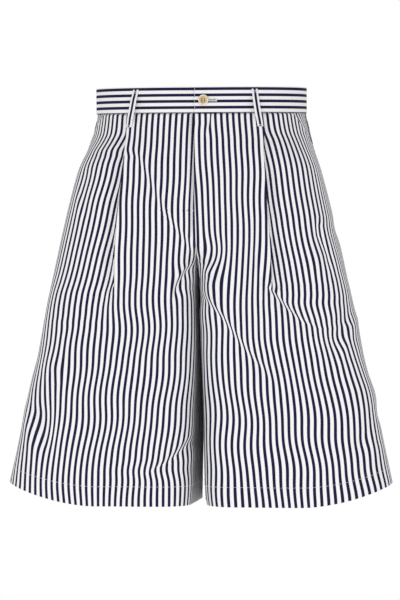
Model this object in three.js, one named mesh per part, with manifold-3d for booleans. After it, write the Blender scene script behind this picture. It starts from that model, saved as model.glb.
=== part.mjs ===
// Bermuda shorts in striped cotton poplin, held open as when worn. Millimetres, +Z up.
// The shorts face -Y and the wearer's left side is +X. The origin is the centre of the waist,
// at mid-height of the waistband. Heights h are nominal: the waist tilts up to the back and
// the hem rises to the outer side, so a point's z is worked out from h and where it lies.
import * as THREE from 'three';
import Module from 'manifold-3d';
import { mergeVertices } from 'three/addons/utils/BufferGeometryUtils.js';

const wasm = await Module();
wasm.setup();

// Cloth and seams
const CLOTH = 1.0; // one layer of cloth
const HEM_EXTRA = 0.7; // the turned-up hem adds this inside
const SEAM_GAP = 0.3; // between pieces at a seam
const HALF_GAP = SEAM_GAP / 2;

// Heights
const WAIST_H = -18.8; // waist seam at the side
const FRONT_RISE_H = -212; // where the front seam starts to turn under
const BACK_RISE_H = -192; // where the back seam starts to turn under
const CROTCH_H = -245; // where the four panels meet
const CROTCH_Y = 10; // depth of that point
const HEM_H = -600; // lower edge at the front
const HEM_TURN = 30; // height of the turned-up hem

// Tilt of the waist and rise of the hem
const WAIST_TILT = 9 / 112; // rise per millimetre towards the back
const TILT_END_H = -160; // the tilt has faded out here
const HEM_RISE = 31; // how much higher the hem is at the outer side
const HEM_RISE_FROM = 150; // distance from the centre where that rise starts
const HEM_RISE_OVER = 130;
const HEM_RISE_TOP_H = -300; // above this height the rise has faded out
const HEM_RISE_CURVE = 1.8; // how sharply the hem turns up at the side
const HEM_RISE_FADE = 1.2; // how quickly the rise fades upwards

// Form of the worn shorts: half width, depth to front and back, and the place of the crown,
// the point of a panel that stands furthest forward or back.
const BODY = [
  { h: 20, halfWidth: 157, front: 112, back: 112, frontCrown: 30, backCrown: 34 },
  { h: -18.8, halfWidth: 157, front: 112, back: 112, frontCrown: 30, backCrown: 34 },
  { h: -43, halfWidth: 162, front: 114, back: 115, frontCrown: 32, backCrown: 38 },
  { h: -73, halfWidth: 169, front: 116, back: 120, frontCrown: 35, backCrown: 46 },
  { h: -103, halfWidth: 179, front: 118, back: 126, frontCrown: 40, backCrown: 56 },
  { h: -148, halfWidth: 191, front: 118, back: 130, frontCrown: 49, backCrown: 68 },
  { h: -208, halfWidth: 206, front: 113, back: 129, frontCrown: 72, backCrown: 84 },
  { h: -268, halfWidth: 219, front: 105, back: 121, frontCrown: 100, backCrown: 104 },
  { h: -328, halfWidth: 232.5, front: 99, back: 111, frontCrown: 114, backCrown: 118 },
  { h: -388, halfWidth: 243.5, front: 94, back: 103, frontCrown: 123, backCrown: 127 },
  { h: -448, halfWidth: 257, front: 90, back: 96, frontCrown: 131, backCrown: 135 },
  { h: -508, halfWidth: 268.7, front: 88, back: 91, frontCrown: 138, backCrown: 141 },
  { h: -568, halfWidth: 279.5, front: 86, back: 88, frontCrown: 144, backCrown: 146 },
  { h: -600, halfWidth: 285, front: 86, back: 88, frontCrown: 147, backCrown: 148 },
];

// Inner side of the legs: how near a leg comes to the centre plane at the back, how much
// further from it the front stands, and how wide and deep the inner corners are rounded.
const INNER_LEG = [
  { h: 20, touch: HALF_GAP, wedge: 0, frontWide: 18, backWide: 20, deep: 30 },
  { h: -103, touch: HALF_GAP, wedge: 0, frontWide: 26, backWide: 36, deep: 32 },
  { h: -185, touch: HALF_GAP, wedge: 0, frontWide: 44, backWide: 62, deep: 36 },
  { h: CROTCH_H, touch: HALF_GAP, wedge: 0, frontWide: 50, backWide: 70, deep: 40 },
  { h: -270, touch: 0.4, wedge: 3.2, frontWide: 51, backWide: 70, deep: 41 },
  { h: -358, touch: 0.5, wedge: 4.2, frontWide: 54, backWide: 68, deep: 44 },
  { h: -455, touch: 0.6, wedge: 7.5, frontWide: 57, backWide: 66, deep: 46 },
  { h: -568, touch: 0.8, wedge: 11, frontWide: 60, backWide: 65, deep: 48 },
  { h: -600, touch: 1.5, wedge: 14, frontWide: 62, backWide: 65, deep: 48 },
];
const FRONT_INNER_SHARE = 0.35; // share of the wedge that is left at the inseam
const BACK_WEDGE_REACH = 0.6; // where the wedge closes, as a share of the way to the back
const INNER_POWER = 2.3; // squareness of a leg's inner corners
const OUTER_POWER = 2.15; // squareness of the outer corners, at the waist and at the back
const FRONT_POWER = 4; // the fronts are flatter and turn more sharply at the side
const FRONT_POWER_FROM_H = -48; // they start to do so here
const FRONT_POWER_OVER = 60;
const FACE_STEPS = 10; // samples along the inner face of an outline
const CORNER_STEPS = 16;
const OUTER_STEPS = 40;
const MITRE = 1.25; // most that a wall's corner is drawn out

// One pleat in each front: place of its fold edge from the centre, depth of the fold, spacing
// of its three layers, height of the top layer over the panel, and how far it has opened out.
const PLEAT = [
  { h: 20, edgeLeft: 96, edgeRight: 100, depth: 27, layer: 1.5, crest: 0.6, open: 0, ridge: 0 },
  { h: -18.8, edgeLeft: 96, edgeRight: 100, depth: 27, layer: 1.5, crest: 0.6, open: 0, ridge: 0 },
  { h: -45, edgeLeft: 98, edgeRight: 101, depth: 27, layer: 1.9, crest: 1.9, open: 0, ridge: 0 },
  { h: -90, edgeLeft: 99, edgeRight: 104, depth: 26, layer: 2.6, crest: 2.6, open: 0, ridge: 0 },
  { h: -150, edgeLeft: 103, edgeRight: 110, depth: 21, layer: 3.0, crest: 3.0, open: 0, ridge: 0 },
  { h: -210, edgeLeft: 107, edgeRight: 116, depth: 13, layer: 3.0, crest: 3.0, open: 1, ridge: 0 },
  { h: -245, edgeLeft: 109, edgeRight: 118, depth: 8, layer: 2.9, crest: 2.8, open: 2, ridge: 0.5 },
  { h: -270, edgeLeft: 110, edgeRight: 119, depth: 4, layer: 2.6, crest: 2.4, open: 8, ridge: 1.5 },
  { h: -290, edgeLeft: 109, edgeRight: 119, depth: 0, layer: 1.8, crest: 1.6, open: 22, ridge: 3 },
  { h: -315, edgeLeft: 109, edgeRight: 119, depth: 0, layer: 0.7, crest: 0.6, open: 36, ridge: 3.5 },
  { h: -345, edgeLeft: 110, edgeRight: 119, depth: 0, layer: 0, crest: 0, open: 40, ridge: 3 },
  { h: -400, edgeLeft: 113, edgeRight: 121, depth: 0, layer: 0, crest: 0, open: 44, ridge: 2.5 },
  { h: -600, edgeLeft: 122, edgeRight: 128, depth: 0, layer: 0, crest: 0, open: 50, ridge: 0 },
];
const PLEAT_RAMP = 28; // the panel rises to the fold and falls from it over this length
const TURN_STEPS = 4; // facets round each turn of the fold
const TURN_RADIUS_SHARE = 0.43; // radius of a turn, as a share of the spacing of the layers

// Fly: the wearer's left front lies over the right one down to where the seam turns under.
const FLY_OVER = 2; // the top edge lies this far past the centre
const FLY_UNDER = 14; // the under edge reaches this far past it
const FLY_END_H = -170; // the under edge has run out here
const FLY_STRAIGHT_H = -100; // below this height the top edge drifts to the centre

// Scooped hip pockets: opening along the waist seam and down the side seam
const POCKET_WIDE = 64;
const POCKET_FOOT = 2.5; // width of the opening at its foot
const POCKET_DEEP = 52;
const POCKET_POWER = 1.3;
const POCKET_STEPS = 6;
const FACING_WIDE = 84;
const FACING_DEEP = 76;
const FACING_SUNK = 2.6; // its outer face lies this far inside the panel's

// Waistband
const BAND_HEIGHT = 38;
const BAND_WALL = 2.0;
const BAND_PROUD = 0.6; // the band stands out from the panels
const BAND_UNDER = 38; // length of the under end past the centre

// Belt loops: strips over the band, tacked at both ends
const LOOP_WIDE = 9;
const LOOP_WALL = 1.2;
const LOOP_BOW = 7.0; // clear passage for a belt
const LOOP_TOP_H = 15.5;
const LOOP_BOTTOM_H = -39;
const LOOP_REST = 5; // length that lies flat at each tacked end
const LOOPS = [
  { name: 'belt_loop_front_left', side: 1, panel: 'front', topX: 84.4, bottomX: 92.6 },
  { name: 'belt_loop_front_right', side: -1, panel: 'front', topX: 87, bottomX: 97 },
  { name: 'belt_loop_back_left', side: 1, panel: 'back', topX: 84, bottomX: 86 },
  { name: 'belt_loop_back_right', side: -1, panel: 'back', topX: 84, bottomX: 86 },
  { name: 'belt_loop_back_center', side: 1, panel: 'back', topX: 0, bottomX: 0 },
];

// Button and its hole
const BUTTON_D = 15;
const BUTTON_THICK = 3;
const BUTTON_DISH = 0.9; // depth of the hollow in its face
const BUTTON_RIM = 1.9;
const BUTTON_X = 11.5;
const BUTTON_Z = -9;
const BUTTON_HOLE_D = 1.8;
const BUTTON_HOLE_PITCH = 3.6;
const SHANK_WIDE = 1.6;
const SHANK_THICK = 1.0;
const SLIT_FROM = 8.5;
const SLIT_LONG = 21;
const SLIT_HIGH = 1.8;

// Largest folds of the cloth, each a straight trough (negative) or ridge (positive)
const FRONT_FOLDS = [
  { side: -1, x1: 84, h1: -80, x2: 38, h2: -178, rise: -3, width: 15 },
  { side: -1, x1: 20, h1: -262, x2: 46, h2: -300, rise: -4, width: 14 },
  { side: -1, x1: 10, h1: -520, x2: 88, h2: -566, rise: -3.5, width: 15 },
  { side: -1, x1: 205, h1: -330, x2: 235, h2: -420, rise: -4, width: 18 },
  { side: -1, x1: 238, h1: -440, x2: 225, h2: -530, rise: -4, width: 18 },
  { side: 1, x1: 36, h1: -320, x2: 124, h2: -432, rise: -4.5, width: 18 },
  { side: 1, x1: 106, h1: -276, x2: 190, h2: -338, rise: -4.5, width: 17 },
  { side: 1, x1: 222, h1: -306, x2: 186, h2: -402, rise: -5, width: 20 },
  { side: 1, x1: 168, h1: -180, x2: 190, h2: -236, rise: -4, width: 15 },
  { side: 1, x1: 248, h1: -470, x2: 240, h2: -540, rise: -4, width: 16 },
  { side: 1, x1: 80, h1: -150, x2: 82, h2: -255, rise: -3, width: 13 },
];
const BACK_FOLDS = [
  { side: -1, x1: 22, h1: -262, x2: 130, h2: -300, rise: -5, width: 17 },
  { side: -1, x1: 60, h1: -330, x2: 150, h2: -390, rise: -4, width: 18 },
  { side: -1, x1: 215, h1: -330, x2: 180, h2: -430, rise: -4, width: 20 },
  { side: 1, x1: 22, h1: -262, x2: 140, h2: -312, rise: -5, width: 17 },
  { side: 1, x1: 50, h1: -350, x2: 130, h2: -440, rise: -4, width: 18 },
  { side: 1, x1: 205, h1: -300, x2: 190, h2: -420, rise: -4, width: 20 },
];
// Waves of the outline at the side seams
const SIDE_WAVES = [
  { side: 1, h: -192, rise: -2.5, height: 16 },
  { side: 1, h: -445, rise: 2.5, height: 22 },
  { side: 1, h: -480, rise: -2, height: 15 },
  { side: -1, h: -330, rise: -2, height: 24 },
  { side: -1, h: -415, rise: 2, height: 20 },
];
const SIDE_WAVE_REACH = 45;
const FOLD_END_SHARE = 0.3; // share of a fold's length over which it fades at each end
const SEAM_FADE = 16; // folds fade out over this length before a seam

const clamp01 = (value) => Math.min(1, Math.max(0, value));
const mix = (a, b, t) => a + (b - a) * t;
const smooth = (value) => {
  const t = clamp01(value);
  return t * t * (3 - 2 * t);
};

// A named column of a table at height h, on a smooth curve through the rows that never
// swings past them
function column(table, name, h) {
  const last = table.length - 1;
  const clamped = Math.max(table[last].h, Math.min(table[0].h, h));
  let k = 0;
  while (k < last - 1 && table[k + 1].h > clamped) k += 1;
  const secant = (i) => {
    const from = Math.min(last - 1, Math.max(0, i));
    return (table[from + 1][name] - table[from][name]) / (table[from + 1].h - table[from].h);
  };
  const slope = (i) => {
    const before = secant(i - 1);
    const after = secant(i);
    return before * after > 0 ? (2 * before * after) / (before + after) : 0;
  };
  const step = table[k + 1].h - table[k].h;
  const t = (clamped - table[k].h) / step;
  const t2 = t * t;
  const t3 = t2 * t;
  return (
    (2 * t3 - 3 * t2 + 1) * table[k][name] +
    (t3 - 2 * t2 + t) * step * slope(k) +
    (3 * t2 - 2 * t3) * table[k + 1][name] +
    (t3 - t2) * step * slope(k + 1)
  );
}

// Depth of the centre seam: at the panel's front or back, then turning under to the crotch
function seamDepth(h, panel) {
  const depth = column(BODY, panel, h) * (panel === 'front' ? -1 : 1);
  const start = panel === 'front' ? FRONT_RISE_H : BACK_RISE_H;
  const t = clamp01((start - h) / (start - CROTCH_H));
  return mix(depth, CROTCH_Y, 1 - Math.sqrt(1 - t * t));
}

// Outline of one panel at height h on the +X side, from its centre or inner seam, over its
// crown, to the side seam. It can be read at any length s, with the outward direction there.
function outline(h, panel) {
  const front = panel === 'front';
  const depth = column(BODY, panel, h) * (front ? -1 : 1);
  const crown = column(BODY, front ? 'frontCrown' : 'backCrown', h);
  const halfWidth = column(BODY, 'halfWidth', h);
  const touch = column(INNER_LEG, 'touch', h);
  const wedge = column(INNER_LEG, 'wedge', h);
  const cornerWide = column(INNER_LEG, front ? 'frontWide' : 'backWide', h);
  const deepest = column(INNER_LEG, 'deep', h);
  const seamY = seamDepth(h, panel);
  const cornerDeep = deepest * (1 - Math.exp(-Math.abs(depth - seamY) / deepest));
  const cornerY = depth - Math.sign(depth) * cornerDeep;
  const innerAt = (y) => {
    const out = clamp01((y - seamY) / (depth - seamY || 1));
    const share = front
      ? mix(FRONT_INNER_SHARE, 1, out)
      : FRONT_INNER_SHARE * Math.max(0, 1 - out / BACK_WEDGE_REACH);
    return touch + wedge * share;
  };
  const samples = [];
  for (let k = 0; k < FACE_STEPS; k += 1) {
    const y = mix(seamY, cornerY, k / FACE_STEPS);
    samples.push([innerAt(y), y]);
  }
  for (let k = 0; k <= CORNER_STEPS; k += 1) {
    const angle = (Math.PI / 2) * (k / CORNER_STEPS);
    const y = mix(cornerY, depth, Math.pow(Math.sin(angle), 2 / INNER_POWER));
    const across = Math.pow(Math.cos(angle), 2 / INNER_POWER);
    samples.push([cornerWide - (cornerWide - innerAt(y)) * across, y]);
  }
  const flatter = front ? smooth((FRONT_POWER_FROM_H - h) / FRONT_POWER_OVER) : 0;
  const power = mix(OUTER_POWER, FRONT_POWER, flatter);
  for (let k = 0; k <= OUTER_STEPS; k += 1) {
    const angle = (Math.PI / 2) * (k / OUTER_STEPS);
    const across = Math.pow(Math.sin(angle), 2 / power);
    const out = Math.pow(Math.max(0, Math.cos(angle)), 2 / power);
    samples.push([mix(crown, halfWidth, across), depth * out]);
  }
  const all = [0];
  for (let k = 1; k < samples.length; k += 1) {
    const [x, y] = samples[k - 1];
    all.push(all[k - 1] + Math.hypot(samples[k][0] - x, samples[k][1] - y));
  }
  const total = all[all.length - 1];
  const cornerEnd = FACE_STEPS + CORNER_STEPS;
  const marks = [all[FACE_STEPS], all[cornerEnd], all[cornerEnd + 1]];
  // above the crotch the samples of the inner face fall together, and one is enough
  const kept = all.map((length, k) => k).filter((k) => k === 0 || all[k] - all[k - 1] > 1e-6);
  const points = kept.map((k) => samples[k]);
  const lengths = kept.map((k) => all[k]);
  const turn = front ? 1 : -1;
  const normalOf = (k) => {
    const a = points[Math.max(0, k - 1)];
    const b = points[Math.min(points.length - 1, k + 1)];
    const run = Math.hypot(b[0] - a[0], b[1] - a[1]);
    return [((b[1] - a[1]) / run) * turn, (-(b[0] - a[0]) / run) * turn];
  };
  const at = (s) => {
    let k = 0;
    while (k < points.length - 2 && lengths[k + 1] <= s) k += 1;
    const t = (s - lengths[k]) / (lengths[k + 1] - lengths[k]);
    const n0 = normalOf(k);
    const n1 = normalOf(k + 1);
    const soft = clamp01(t);
    const nx = mix(n0[0], n1[0], soft);
    const ny = mix(n0[1], n1[1], soft);
    const size = Math.hypot(nx, ny);
    return {
      x: mix(points[k][0], points[k + 1][0], t),
      y: mix(points[k][1], points[k + 1][1], t),
      nx: nx / size,
      ny: ny / size,
    };
  };
  const lengthAtX = (x) => {
    let k = 0;
    while (k < points.length - 2 && (lengths[k + 1] <= marks[1] || points[k + 1][0] < x)) k += 1;
    const t = (x - points[k][0]) / (points[k + 1][0] - points[k][0]);
    return mix(lengths[k], lengths[k + 1], t);
  };
  return { total, marks, at, lengthAtX };
}

// Real height of a point from its nominal height and place
function heightOf(h, x, y) {
  const tilt = WAIST_TILT * y * smooth((h - TILT_END_H) / (WAIST_H - TILT_END_H));
  const down = clamp01((HEM_RISE_TOP_H - h) / (HEM_RISE_TOP_H - HEM_H));
  const outward = Math.max(0, (Math.abs(x) - HEM_RISE_FROM) / HEM_RISE_OVER);
  const rise = HEM_RISE * Math.pow(outward, HEM_RISE_CURVE) * Math.pow(down, HEM_RISE_FADE);
  return h + tilt + rise;
}

// How far the folds move the cloth out at a point of a panel
function foldRise(folds, side, x, h, toCentre, toSide) {
  let rise = 0;
  for (const fold of folds) {
    if (fold.side !== side) continue;
    const dx = fold.x2 - fold.x1;
    const dh = fold.h2 - fold.h1;
    const along = ((x - fold.x1) * dx + (h - fold.h1) * dh) / (dx * dx + dh * dh);
    const t = clamp01(along);
    const away = Math.hypot(x - fold.x1 - dx * t, h - fold.h1 - dh * t) / fold.width;
    const ends = smooth(t / FOLD_END_SHARE) * smooth((1 - t) / FOLD_END_SHARE);
    rise += fold.rise * Math.exp(-away * away) * ends;
  }
  rise *= smooth(toCentre / SEAM_FADE) * smooth(toSide / SEAM_FADE);
  for (const wave of SIDE_WAVES) {
    if (wave.side !== side) continue;
    const up = (h - wave.h) / wave.height;
    const off = toSide / SIDE_WAVE_REACH;
    rise += wave.rise * Math.exp(-up * up - off * off);
  }
  return rise;
}

// One row of a cloth wall: a path of lengths s and heights n of its outer face over the
// outline becomes pairs of points, one on the outer face and one on the inner face.
function wallRow(line, path, h, side, wall) {
  const bases = path.map(({ s }) => line.at(s));
  const middle = path.map(({ n }, k) => [
    bases[k].x + bases[k].nx * (n - wall / 2),
    bases[k].y + bases[k].ny * (n - wall / 2),
  ]);
  const turn = -Math.sign(line.at(line.marks[2]).ny);
  const across = (a, b) => {
    const run = Math.hypot(b[0] - a[0], b[1] - a[1]);
    return [((b[1] - a[1]) / run) * turn, (-(b[0] - a[0]) / run) * turn];
  };
  return middle.map((point, k) => {
    const atEnd = k === 0 || k === middle.length - 1;
    const normals = atEnd
      ? [[bases[k].nx, bases[k].ny]]
      : [across(middle[k - 1], point), across(point, middle[k + 1])];
    const sum = normals.reduce((a, b) => [a[0] + b[0], a[1] + b[1]]);
    const size = Math.hypot(...sum);
    const spread = Math.min(MITRE, normals.length / size);
    const nx = (sum[0] / size) * spread * (wall / 2);
    const ny = (sum[1] / size) * spread * (wall / 2);
    const z = heightOf(h, point[0], point[1]);
    return {
      outer: [(point[0] + nx) * side, point[1] + ny, z],
      inner: [(point[0] - nx) * side, point[1] - ny, z],
    };
  });
}

// Closed wall through rows of point pairs
function wallGeometry(rows) {
  const high = rows.length;
  const wide = rows[0].length;
  const positions = [];
  for (const face of ['outer', 'inner']) {
    for (const row of rows) {
      for (const pair of row) positions.push(...pair[face]);
    }
  }
  const outer = (i, j) => i * wide + j;
  const inner = (i, j) => (high + i) * wide + j;
  const index = [];
  const quad = (a, b, c, d) => index.push(a, b, c, a, c, d);
  for (let i = 0; i < high - 1; i += 1) {
    for (let j = 0; j < wide - 1; j += 1) {
      quad(outer(i, j), outer(i, j + 1), outer(i + 1, j + 1), outer(i + 1, j));
      quad(inner(i, j), inner(i + 1, j), inner(i + 1, j + 1), inner(i, j + 1));
    }
    quad(outer(i, 0), outer(i + 1, 0), inner(i + 1, 0), inner(i, 0));
    const last = wide - 1;
    quad(outer(i, last), inner(i, last), inner(i + 1, last), outer(i + 1, last));
  }
  for (let j = 0; j < wide - 1; j += 1) {
    quad(outer(0, j), inner(0, j), inner(0, j + 1), outer(0, j + 1));
    const last = high - 1;
    quad(outer(last, j), outer(last, j + 1), inner(last, j + 1), inner(last, j));
  }
  return closedGeometry(positions, index);
}

// Geometry with its faces turned outward
function closedGeometry(positions, index) {
  const corner = (k) => new THREE.Vector3().fromArray(positions, index[k] * 3);
  let volume = 0;
  for (let k = 0; k < index.length; k += 3) {
    volume += corner(k).dot(corner(k + 1).cross(corner(k + 2)));
  }
  if (volume < 0) {
    for (let k = 0; k < index.length; k += 3) {
      [index[k + 1], index[k + 2]] = [index[k + 2], index[k + 1]];
    }
  }
  const geometry = new THREE.BufferGeometry();
  geometry.setAttribute('position', new THREE.Float32BufferAttribute(positions, 3));
  geometry.setIndex(index);
  return geometry;
}

// Heights of the rows of a panel
const HEM_FOLD_H = HEM_H + HEM_TURN;
const PANEL_TOP_H = WAIST_H - HALF_GAP;
const riseRow = (start, degrees) =>
  start - (start - CROTCH_H) * Math.sin(THREE.MathUtils.degToRad(degrees));
const FRONT_ROWS = [
  PANEL_TOP_H, -31, -44, -58, -75, -97, -125, -152, FLY_END_H, FRONT_RISE_H,
  riseRow(FRONT_RISE_H, 30), riseRow(FRONT_RISE_H, 52), riseRow(FRONT_RISE_H, 71), CROTCH_H,
  -258, -272, -287, -305, -330, -360, -395, -435, -475, -515, -545,
  HEM_FOLD_H + HALF_GAP, HEM_FOLD_H - HALF_GAP, HEM_H,
];
const BACK_ROWS = [
  PANEL_TOP_H, -45, -75, -105, -135, BACK_RISE_H, riseRow(BACK_RISE_H, 25),
  riseRow(BACK_RISE_H, 48), riseRow(BACK_RISE_H, 70), CROTCH_H,
  -262, -282, -305, -330, -360, -395, -435, -475, -515, -545,
  HEM_FOLD_H + HALF_GAP, HEM_FOLD_H - HALF_GAP, HEM_H,
];
const wallAt = (h) => (h < HEM_FOLD_H ? CLOTH + HEM_EXTRA : CLOTH);

// The piece that is scooped out of a front at its pocket, thicker than the cloth
function pocketScoop(side) {
  const past = 5; // how far the scoop runs over the seams and faces
  const rows = [];
  for (const down of [-past / POCKET_DEEP, 0, 0.1, 0.25, 0.42, 0.6, 0.78, 0.92, 1]) {
    const h = WAIST_H - POCKET_DEEP * down;
    const line = outline(h, 'front');
    const wide = mix(POCKET_FOOT, POCKET_WIDE, Math.pow(clamp01(1 - down), 1 / POCKET_POWER));
    const path = [];
    for (let k = 0; k <= POCKET_STEPS; k += 1) {
      path.push({ s: line.total + mix(-wide, past, k / POCKET_STEPS), n: past });
    }
    rows.push(wallRow(line, path, h, side, past * 2));
  }
  return wallGeometry(rows);
}

// Lengths and heights of the pleat's columns: over the fold, round its edge, back under it,
// round the inner turn and out again. Each entry also says how far along the fold it lies.
function pleatPath(h, edge) {
  const depth = column(PLEAT, 'depth', h);
  const layer = column(PLEAT, 'layer', h);
  const crest = column(PLEAT, 'crest', h);
  const open = column(PLEAT, 'open', h);
  const ridge = column(PLEAT, 'ridge', h);
  const radius = layer * TURN_RADIUS_SHARE;
  const path = [{ s: edge - depth, n: crest }, { s: edge - depth * 0.5 - radius, n: crest }];
  for (let k = 0; k <= TURN_STEPS; k += 1) {
    const angle = Math.PI * (0.5 - k / TURN_STEPS);
    const level = crest - radius;
    path.push({ s: edge - radius + radius * Math.cos(angle), n: level + radius * Math.sin(angle) });
  }
  path.push({ s: edge - depth * 0.5, n: crest - layer });
  for (let k = 0; k <= TURN_STEPS; k += 1) {
    const angle = Math.PI * (0.5 + k / TURN_STEPS);
    const level = crest - 2 * layer + radius;
    path.push({
      s: edge - depth + radius + radius * Math.cos(angle),
      n: level + radius * Math.sin(angle),
    });
  }
  path.push({ s: edge - depth * 0.5 + radius, n: crest - 2 * layer });
  path.push({ s: edge + radius, n: crest - 2 * layer });
  const last = path.length - 1;
  return path.map(({ s, n }, k) => ({
    s: s + open * (k / last - 0.5),
    n: n + ridge * Math.sin((Math.PI * k) / last),
  }));
}

// Lengths of the columns over the inner part of a panel: along the inner face, round the
// corner and to the crown. Above the crotch there is no inner face and they are spread out.
const FIRST_COLUMN = 6;
function innerColumns(line) {
  const [cornerStart, cornerEnd, crown] = line.marks;
  const face = Math.max(cornerStart, FIRST_COLUMN * 2);
  const steps = [0, 1 / 3, 2 / 3, 1].map((share) => mix(face, cornerEnd, share));
  return { inner: [face / 2, ...steps], crown };
}

// The whole path of a front panel at height h
function frontPath(h, side) {
  const line = outline(h, 'front');
  const left = side > 0;
  const edge = line.lengthAtX(column(PLEAT, left ? 'edgeLeft' : 'edgeRight', h));
  const pleat = pleatPath(h, edge);
  const drift = clamp01((h - FRONT_RISE_H) / (FLY_STRAIGHT_H - FRONT_RISE_H));
  const flyEdge = (FLY_OVER + HALF_GAP) * drift;
  const trim = h < FRONT_RISE_H ? HALF_GAP : 0;
  const path = [];
  const sunk = !left && h >= FLY_END_H ? -(CLOTH + SEAM_GAP) : 0;
  const under = h > FLY_END_H ? -FLY_UNDER : trim + flyEdge;
  path.push({ s: left ? trim - flyEdge : under, n: sunk });
  const { inner, crown } = innerColumns(line);
  inner.forEach((s, k) => path.push({ s, n: k === 0 ? sunk : 0 }));
  const first = pleat[0].s;
  const middle = Math.min(crown, mix(inner[inner.length - 1], first, 0.5));
  path.push({ s: middle, n: 0 });
  for (const share of [0.4, 0.75]) {
    const s = mix(middle, first, share);
    path.push({ s, n: pleat[0].n * smooth(1 - (first - s) / PLEAT_RAMP) });
  }
  path.push(...pleat);
  const from = pleat[pleat.length - 1];
  const end = line.total - HALF_GAP;
  for (const share of [0.1, 0.22, 0.34, 0.44, 0.53, 0.61, 0.69, 0.77, 0.85, 0.93, 1]) {
    const s = mix(from.s, end, share);
    path.push({ s, n: from.n * (1 - smooth((s - from.s) / PLEAT_RAMP)) });
  }
  const folded = path.map(({ s, n }) => {
    const x = line.at(s).x;
    return { s, n: n + foldRise(FRONT_FOLDS, side, x, h, Math.max(0, s), line.total - s) };
  });
  return { line, path: folded };
}

function frontPanel(side) {
  const rows = FRONT_ROWS.map((h) => {
    const { line, path } = frontPath(h, side);
    return wallRow(line, path, h, side, wallAt(h));
  });
  return geometryOf(solidOf(wallGeometry(rows)).subtract(solidOf(pocketScoop(side))));
}

const BACK_STEPS = 10; // columns from the crown of the back to the side seam
function backPanel(side) {
  const rows = BACK_ROWS.map((h) => {
    const line = outline(h, 'back');
    const path = [];
    const trim = h < BACK_RISE_H ? HALF_GAP : 0;
    const { inner, crown } = innerColumns(line);
    for (const s of [trim, ...inner, crown]) path.push({ s, n: 0 });
    for (let k = 1; k <= BACK_STEPS; k += 1) {
      path.push({ s: mix(crown, line.total - HALF_GAP, k / BACK_STEPS), n: 0 });
    }
    for (const point of path) {
      const x = line.at(point.s).x;
      point.n += foldRise(BACK_FOLDS, side, x, h, point.s, line.total - point.s);
    }
    return wallRow(line, path, h, side, wallAt(h));
  });
  return wallGeometry(rows);
}

// The facing lies behind the scooped edge of the front and reaches the side seam
function pocketFacing(side) {
  const rows = 12;
  const columns = 14;
  const grid = [];
  for (let i = 0; i <= rows; i += 1) {
    const h = PANEL_TOP_H - (FACING_DEEP * i) / rows;
    const line = outline(h, 'front');
    const path = [];
    for (let j = 0; j <= columns; j += 1) {
      const s = line.total - mix(FACING_WIDE, HALF_GAP, j / columns);
      const rise = foldRise([], side, 0, h, 0, line.total - s);
      path.push({ s, n: rise - FACING_SUNK });
    }
    grid.push(wallRow(line, path, h, side, CLOTH));
  }
  return wallGeometry(grid);
}

// Half of the waistband, from its end at the centre front round to the centre back
function waistband(side) {
  const left = side > 0;
  const bottom = WAIST_H + HALF_GAP;
  const rows = [0, 0.5, 1].map((share) => {
    const h = bottom + BAND_HEIGHT * share;
    const front = outline(h, 'front');
    const back = outline(h, 'back');
    const sunk = BAND_PROUD - BAND_WALL - SEAM_GAP;
    const frontPoints = left
      ? [{ s: -(FLY_OVER + HALF_GAP), n: BAND_PROUD }, { s: 20, n: BAND_PROUD }]
      : [{ s: -BAND_UNDER, n: sunk }, { s: -18, n: sunk }, { s: FLY_OVER + 4, n: sunk }];
    const steps = 13;
    const from = left ? 34 : 30;
    for (let k = 0; k <= steps; k += 1) {
      frontPoints.push({ s: mix(from, front.total, k / steps), n: BAND_PROUD });
    }
    const backPoints = [];
    for (let k = 0; k < steps; k += 1) {
      backPoints.push({ s: (back.total * k) / steps, n: BAND_PROUD });
    }
    const frontRow = wallRow(front, frontPoints, h, side, BAND_WALL);
    const backRow = wallRow(back, backPoints, h, side, BAND_WALL);
    return [...frontRow, ...backRow.reverse()];
  });
  return wallGeometry(rows);
}

// A belt loop: tacked flat at both ends and bowed out between them
function beltLoop({ side, panel, topX, bottomX }) {
  const path = [
    { h: LOOP_TOP_H, lift: 0 },
    { h: LOOP_TOP_H - LOOP_REST, lift: 0 },
    { h: LOOP_TOP_H - 9, lift: 0.62 },
    { h: LOOP_TOP_H - 14, lift: 0.95 },
    { h: LOOP_TOP_H - 20, lift: 1 },
    { h: LOOP_BOTTOM_H + 20, lift: 1 },
    { h: LOOP_BOTTOM_H + 14, lift: 0.95 },
    { h: LOOP_BOTTOM_H + 9, lift: 0.62 },
    { h: LOOP_BOTTOM_H + LOOP_REST, lift: 0 },
    { h: LOOP_BOTTOM_H, lift: 0 },
  ];
  const crest = panel === 'front' ? column(PLEAT, 'crest', LOOP_BOTTOM_H) : 0;
  const rows = path.map(({ h, lift }) => {
    const down = (LOOP_TOP_H - h) / (LOOP_TOP_H - LOOP_BOTTOM_H);
    const line = outline(h, panel);
    const centre = line.lengthAtX(mix(topX, bottomX, down));
    const face = mix(BAND_PROUD, Math.max(crest, BAND_PROUD), smooth((down - 0.5) / 0.4));
    const n = face + SEAM_GAP + LOOP_WALL + LOOP_BOW * lift;
    const s = topX === 0 ? 0 : centre;
    const ends = [{ s: s - LOOP_WIDE / 2, n }, { s: s + LOOP_WIDE / 2, n }];
    return wallRow(line, ends, h, side, LOOP_WALL);
  });
  return wallGeometry(rows);
}

// Solid of a closed mesh, for joining and cutting
function solidOf(geometry) {
  const plain = geometry.clone();
  plain.deleteAttribute('normal');
  plain.deleteAttribute('uv');
  const merged = mergeVertices(plain, 1e-4);
  return new wasm.Manifold(
    new wasm.Mesh({
      numProp: 3,
      vertProperties: new Float32Array(merged.attributes.position.array),
      triVerts: new Uint32Array(merged.index.array),
    }),
  );
}

function geometryOf(solid) {
  const mesh = solid.getMesh();
  return closedGeometry(Array.from(mesh.vertProperties), Array.from(mesh.triVerts));
}

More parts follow.
